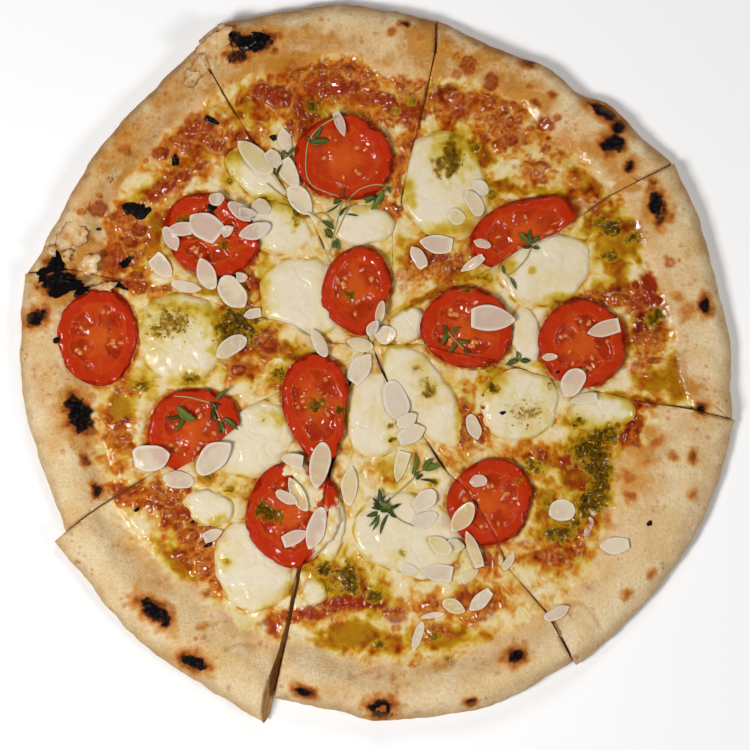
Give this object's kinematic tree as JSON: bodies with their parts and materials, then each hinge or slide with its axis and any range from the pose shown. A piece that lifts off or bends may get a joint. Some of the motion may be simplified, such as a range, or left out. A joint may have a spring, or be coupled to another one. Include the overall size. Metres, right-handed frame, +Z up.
{
  "type": "vegetable pizza",
  "caption": "Round baked pizza cut into wedge slices, with a raised browned rim, melted cheese, mozzarella slabs, tomato slices, almond flakes, pesto and thyme.",
  "frame": {"origin": "middle of the pizza's bounding box, on its flat underside", "axes": "+Z up out of the toppings, +Y towards the slice at the top of the picture, +X to the picture's right"},
  "size_m": [0.3223, 0.3237, 0.0148],
  "materials": {
    "dough": "baked, dull",
    "melt": "melted, satin",
    "mozzarella": "soft satin",
    "tomato": "moist",
    "thyme": "dull",
    "almond": "dull",
    "pesto": "moist"
  },
  "bodies": {
    "root": {"dough_a": "dough", "dough_b": "dough", "dough_c": "dough", "dough_d": "dough", "dough_e": "dough", "dough_f": "dough", "dough_g": "dough", "dough_h": "dough", "melt_a": "melt", "melt_b": "melt", "melt_c": "melt", "melt_d": "melt", "melt_e": "melt", "melt_f": "melt", "melt_g": "melt", "melt_h": "melt", "mozzarella_1": "mozzarella", "mozzarella_10": "mozzarella", "mozzarella_11": "mozzarella", "mozzarella_12": "mozzarella", "mozzarella_13": "mozzarella", "mozzarella_14": "mozzarella", "mozzarella_15": "mozzarella", "mozzarella_16": "mozzarella", "mozzarella_17": "mozzarella", "mozzarella_18": "mozzarella", "mozzarella_19": "mozzarella", "mozzarella_2": "mozzarella", "mozzarella_3": "mozzarella", "mozzarella_4": "mozzarella", "mozzarella_5": "mozzarella", "mozzarella_6": "mozzarella", "mozzarella_7": "mozzarella", "mozzarella_8": "mozzarella", "mozzarella_9": "mozzarella", "thyme_1": "thyme", "thyme_2": "thyme", "thyme_3": "thyme", "thyme_4": "thyme", "thyme_5": "thyme", "tomato_1": "tomato", "tomato_10": "tomato", "tomato_11": "tomato", "tomato_11_cut": "tomato", "tomato_2": "tomato", "tomato_3": "tomato", "tomato_4": "tomato", "tomato_4_cut": "tomato", "tomato_5": "tomato", "tomato_5_cut": "tomato", "tomato_6": "tomato", "tomato_7": "tomato", "tomato_7_cut": "tomato", "tomato_8": "tomato", "tomato_9": "tomato", "tomato_9_cut": "tomato"}
  },
  "joints": []
}
